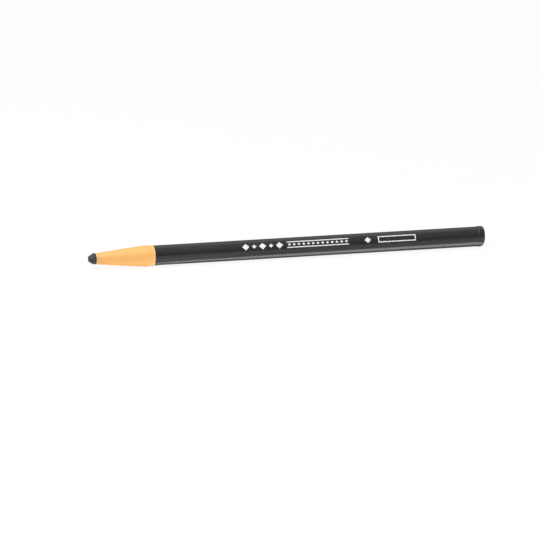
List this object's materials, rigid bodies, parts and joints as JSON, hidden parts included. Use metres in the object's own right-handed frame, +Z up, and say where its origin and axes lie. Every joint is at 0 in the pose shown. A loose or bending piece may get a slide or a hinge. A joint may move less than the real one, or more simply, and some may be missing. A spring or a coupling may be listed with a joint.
{
  "type": "china marker",
  "caption": "Paper-wrapped wax marker: blunt wax point, tapered bare-paper nose that peels off in laps, long round black barrel and rounded sealed tail.",
  "frame": {"origin": "on the table under the middle of the marker's length", "axes": "+X from the wax point to the sealed tail, +Z up from the table the marker lies on"},
  "size_m": [0.197, 0.0102, 0.0101],
  "materials": {
    "wax": "matte charcoal wax, slightly greasy",
    "paper": "uncoated orange paper",
    "cover": "black lacquered paper, satin",
    "string": "undyed twisted cotton",
    "dip": "black dipped lacquer"
  },
  "bodies": {
    "barrel": {"wax_lead": "wax", "tear_string": "string", "paper_winding": "paper", "barrel_cover": "cover", "tail_dip": "dip"},
    "peel_03": {"peel_03": "paper", "cover_ring_03": "cover"},
    "peel_02": {"peel_02": "paper", "cover_ring_02": "cover"},
    "peel_01": {"peel_01": "paper"}
  },
  "joints": [
    {"name": "peel_03_off", "type": "slide", "parent": "barrel", "child": "peel_03", "axis": [-1, 0, 0], "range_m": [0, 0.0428]},
    {"name": "peel_02_off", "type": "slide", "parent": "peel_03", "child": "peel_02", "axis": [-1, 0, 0], "range_m": [0, 0.0384]},
    {"name": "peel_01_off", "type": "slide", "parent": "peel_02", "child": "peel_01", "axis": [-1, 0, 0], "range_m": [0, 0.034]}
  ]
}
